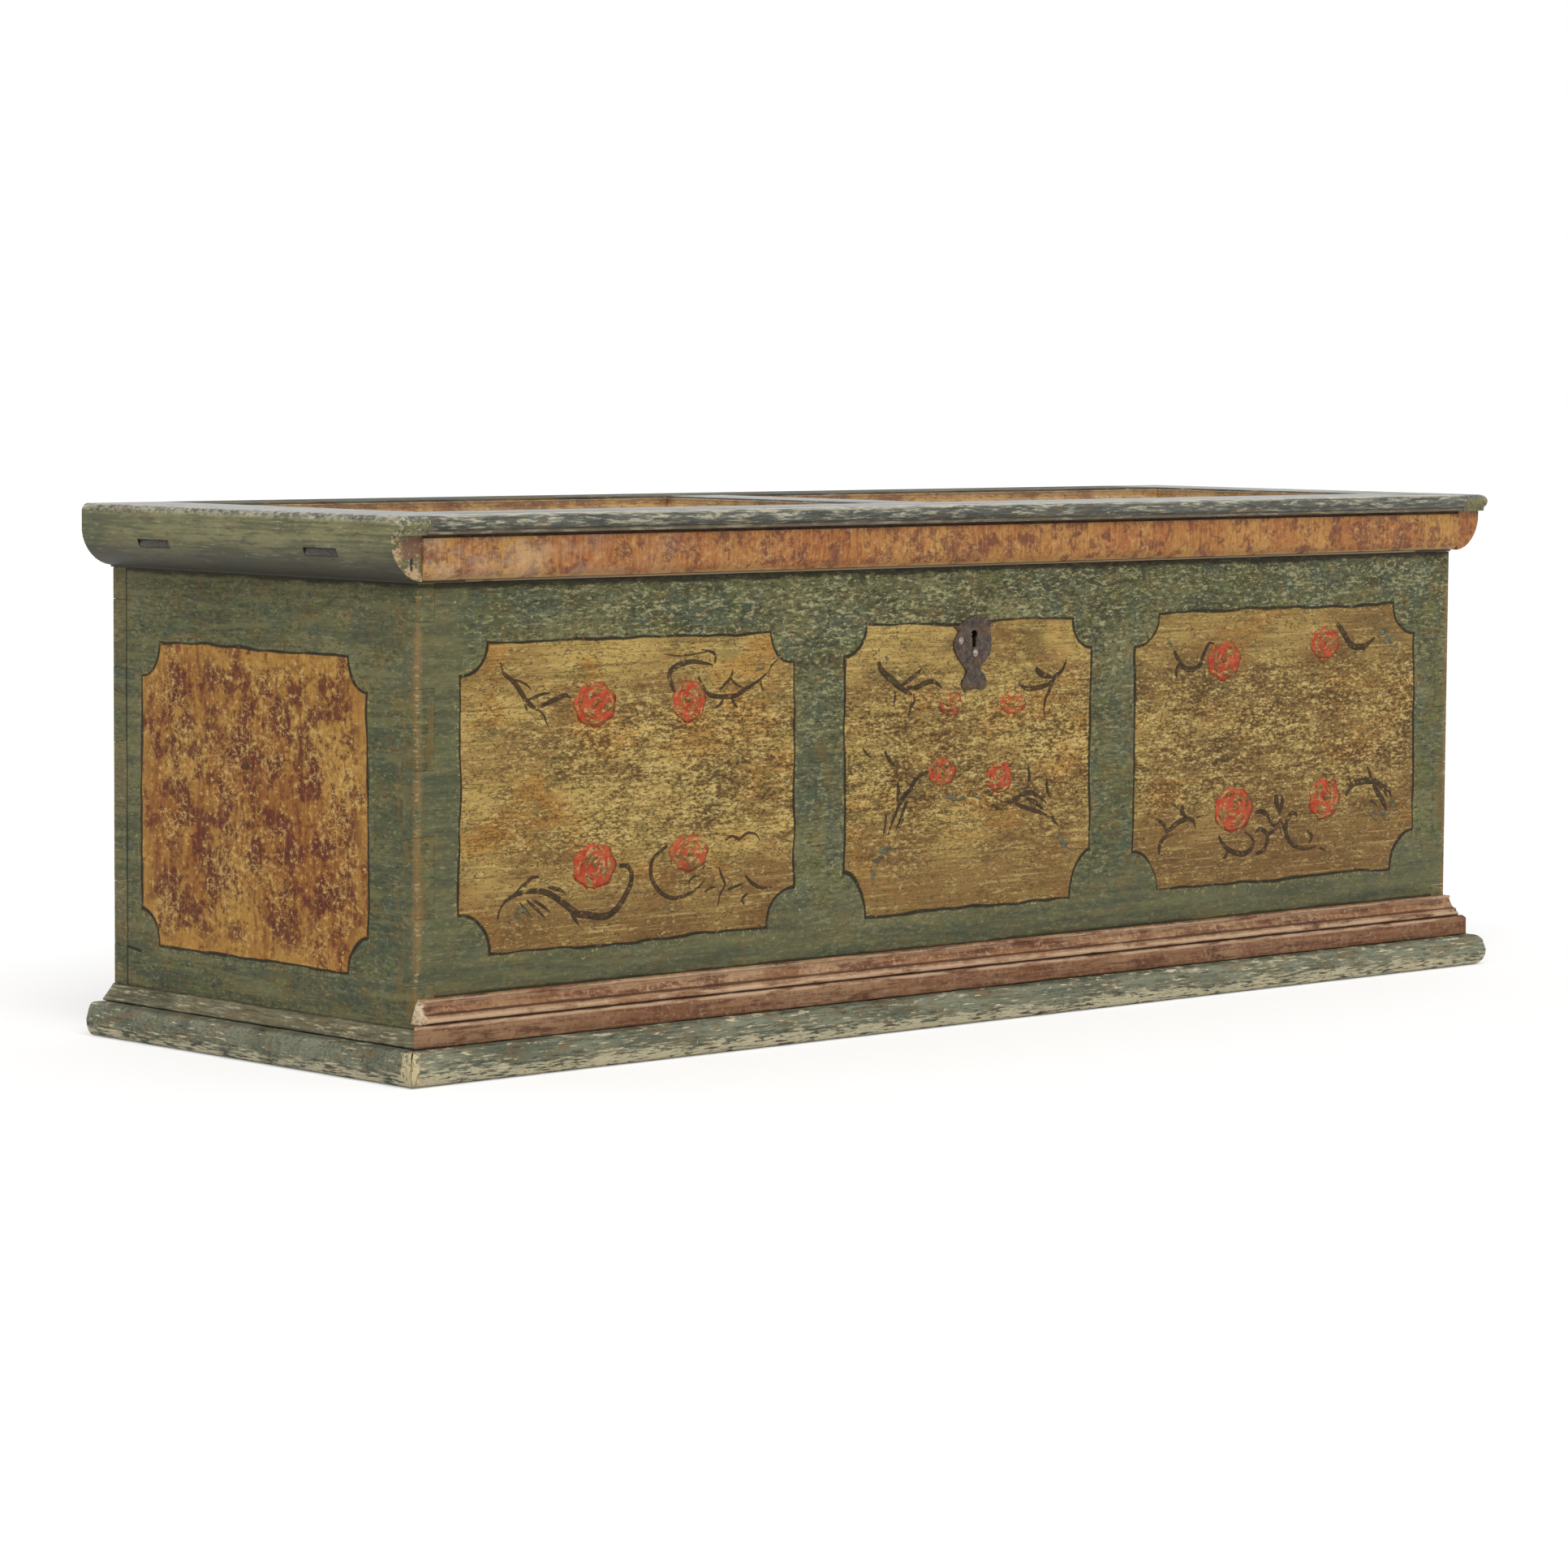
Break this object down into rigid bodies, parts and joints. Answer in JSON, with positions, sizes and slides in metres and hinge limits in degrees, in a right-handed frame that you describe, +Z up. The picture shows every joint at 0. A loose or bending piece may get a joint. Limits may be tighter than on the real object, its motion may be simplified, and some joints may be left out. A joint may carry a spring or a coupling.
{
  "type": "coffer chest",
  "caption": "Long painted coffer chest with dovetailed corners, moulded plinth, framed sunk-panel lid on strap hinges and a bolt lock behind a keyhole plate.",
  "frame": {"origin": "on the floor, at the middle of the outermost length and depth", "axes": "+X along the front to the right of a person facing it, +Y to the back, +Z up"},
  "size_m": [1.786, 0.5964, 0.6048],
  "materials": {
    "green_paint": "old matte green paint over softwood, flecked and worn",
    "blue_paint": "old matte blue-green paint over softwood, rubbed at the edges",
    "red_paint": "old matte orange-red marbled paint over softwood",
    "ochre_paint": "old matte ochre paint over softwood",
    "bare_wood": "bare aged softwood",
    "wrought_iron": "forged iron, dark and rust-brown",
    "bright_iron": "filed iron, worn smooth"
  },
  "bodies": {
    "chest": {"front_board": "green_paint", "back_board": "bare_wood", "back_top_rail": "bare_wood", "left_end_board": "green_paint", "right_end_board": "green_paint", "bottom_board_1": "bare_wood", "bottom_board_2": "bare_wood", "bottom_board_3": "bare_wood", "front_base_moulding": "blue_paint", "left_base_moulding": "blue_paint", "right_base_moulding": "blue_paint", "front_plinth_fascia": "red_paint", "left_plinth_moulding": "green_paint", "right_plinth_moulding": "green_paint", "front_plinth_band": "red_paint", "escutcheon": "wrought_iron", "lock_case": "wrought_iron", "lock_drill_pin": "bright_iron", "lock_spring": "bright_iron", "escutcheon_nail_1": "wrought_iron", "escutcheon_nail_2": "wrought_iron", "lock_nail_1": "wrought_iron", "lock_nail_2": "wrought_iron", "right_hinge_leaf": "wrought_iron", "left_hinge_leaf": "wrought_iron", "right_hinge_pin": "bright_iron", "left_hinge_pin": "bright_iron", "hinge_leaf_nail_1": "wrought_iron", "hinge_leaf_nail_2": "wrought_iron", "hinge_leaf_nail_3": "wrought_iron", "hinge_leaf_nail_4": "wrought_iron"},
    "bolt": {"lock_bolt": "bright_iron"},
    "lid": {"left_lid_stile": "green_paint", "right_lid_stile": "green_paint", "lid_front_rail": "blue_paint", "lid_back_rail": "blue_paint", "lid_mullion": "blue_paint", "lid_left_panel": "green_paint", "lid_right_panel": "green_paint", "lid_nosing": "blue_paint", "lid_front_moulding": "red_paint", "left_panel_bead_front": "ochre_paint", "left_panel_bead_back": "ochre_paint", "left_panel_bead_left": "ochre_paint", "left_panel_bead_right": "ochre_paint", "right_panel_bead_front": "ochre_paint", "right_panel_bead_back": "ochre_paint", "right_panel_bead_left": "ochre_paint", "right_panel_bead_right": "ochre_paint", "lid_staple": "wrought_iron", "staple_nail_1": "wrought_iron", "staple_nail_2": "wrought_iron", "right_hinge_strap": "wrought_iron", "left_hinge_strap": "wrought_iron", "hinge_strap_nail_1": "wrought_iron", "hinge_strap_nail_2": "wrought_iron", "hinge_strap_nail_3": "wrought_iron", "hinge_strap_nail_4": "wrought_iron"}
  },
  "joints": [
    {"name": "lid_hinge", "type": "hinge", "parent": "chest", "child": "lid", "pos_m": [0, 0.29215, 0.5323], "axis": [-1, 0, 0], "range_deg": [0, 100]},
    {"name": "bolt_slide", "type": "slide", "parent": "chest", "child": "bolt", "axis": [1, 0, 0], "range_m": [0, 0.016]}
  ]
}
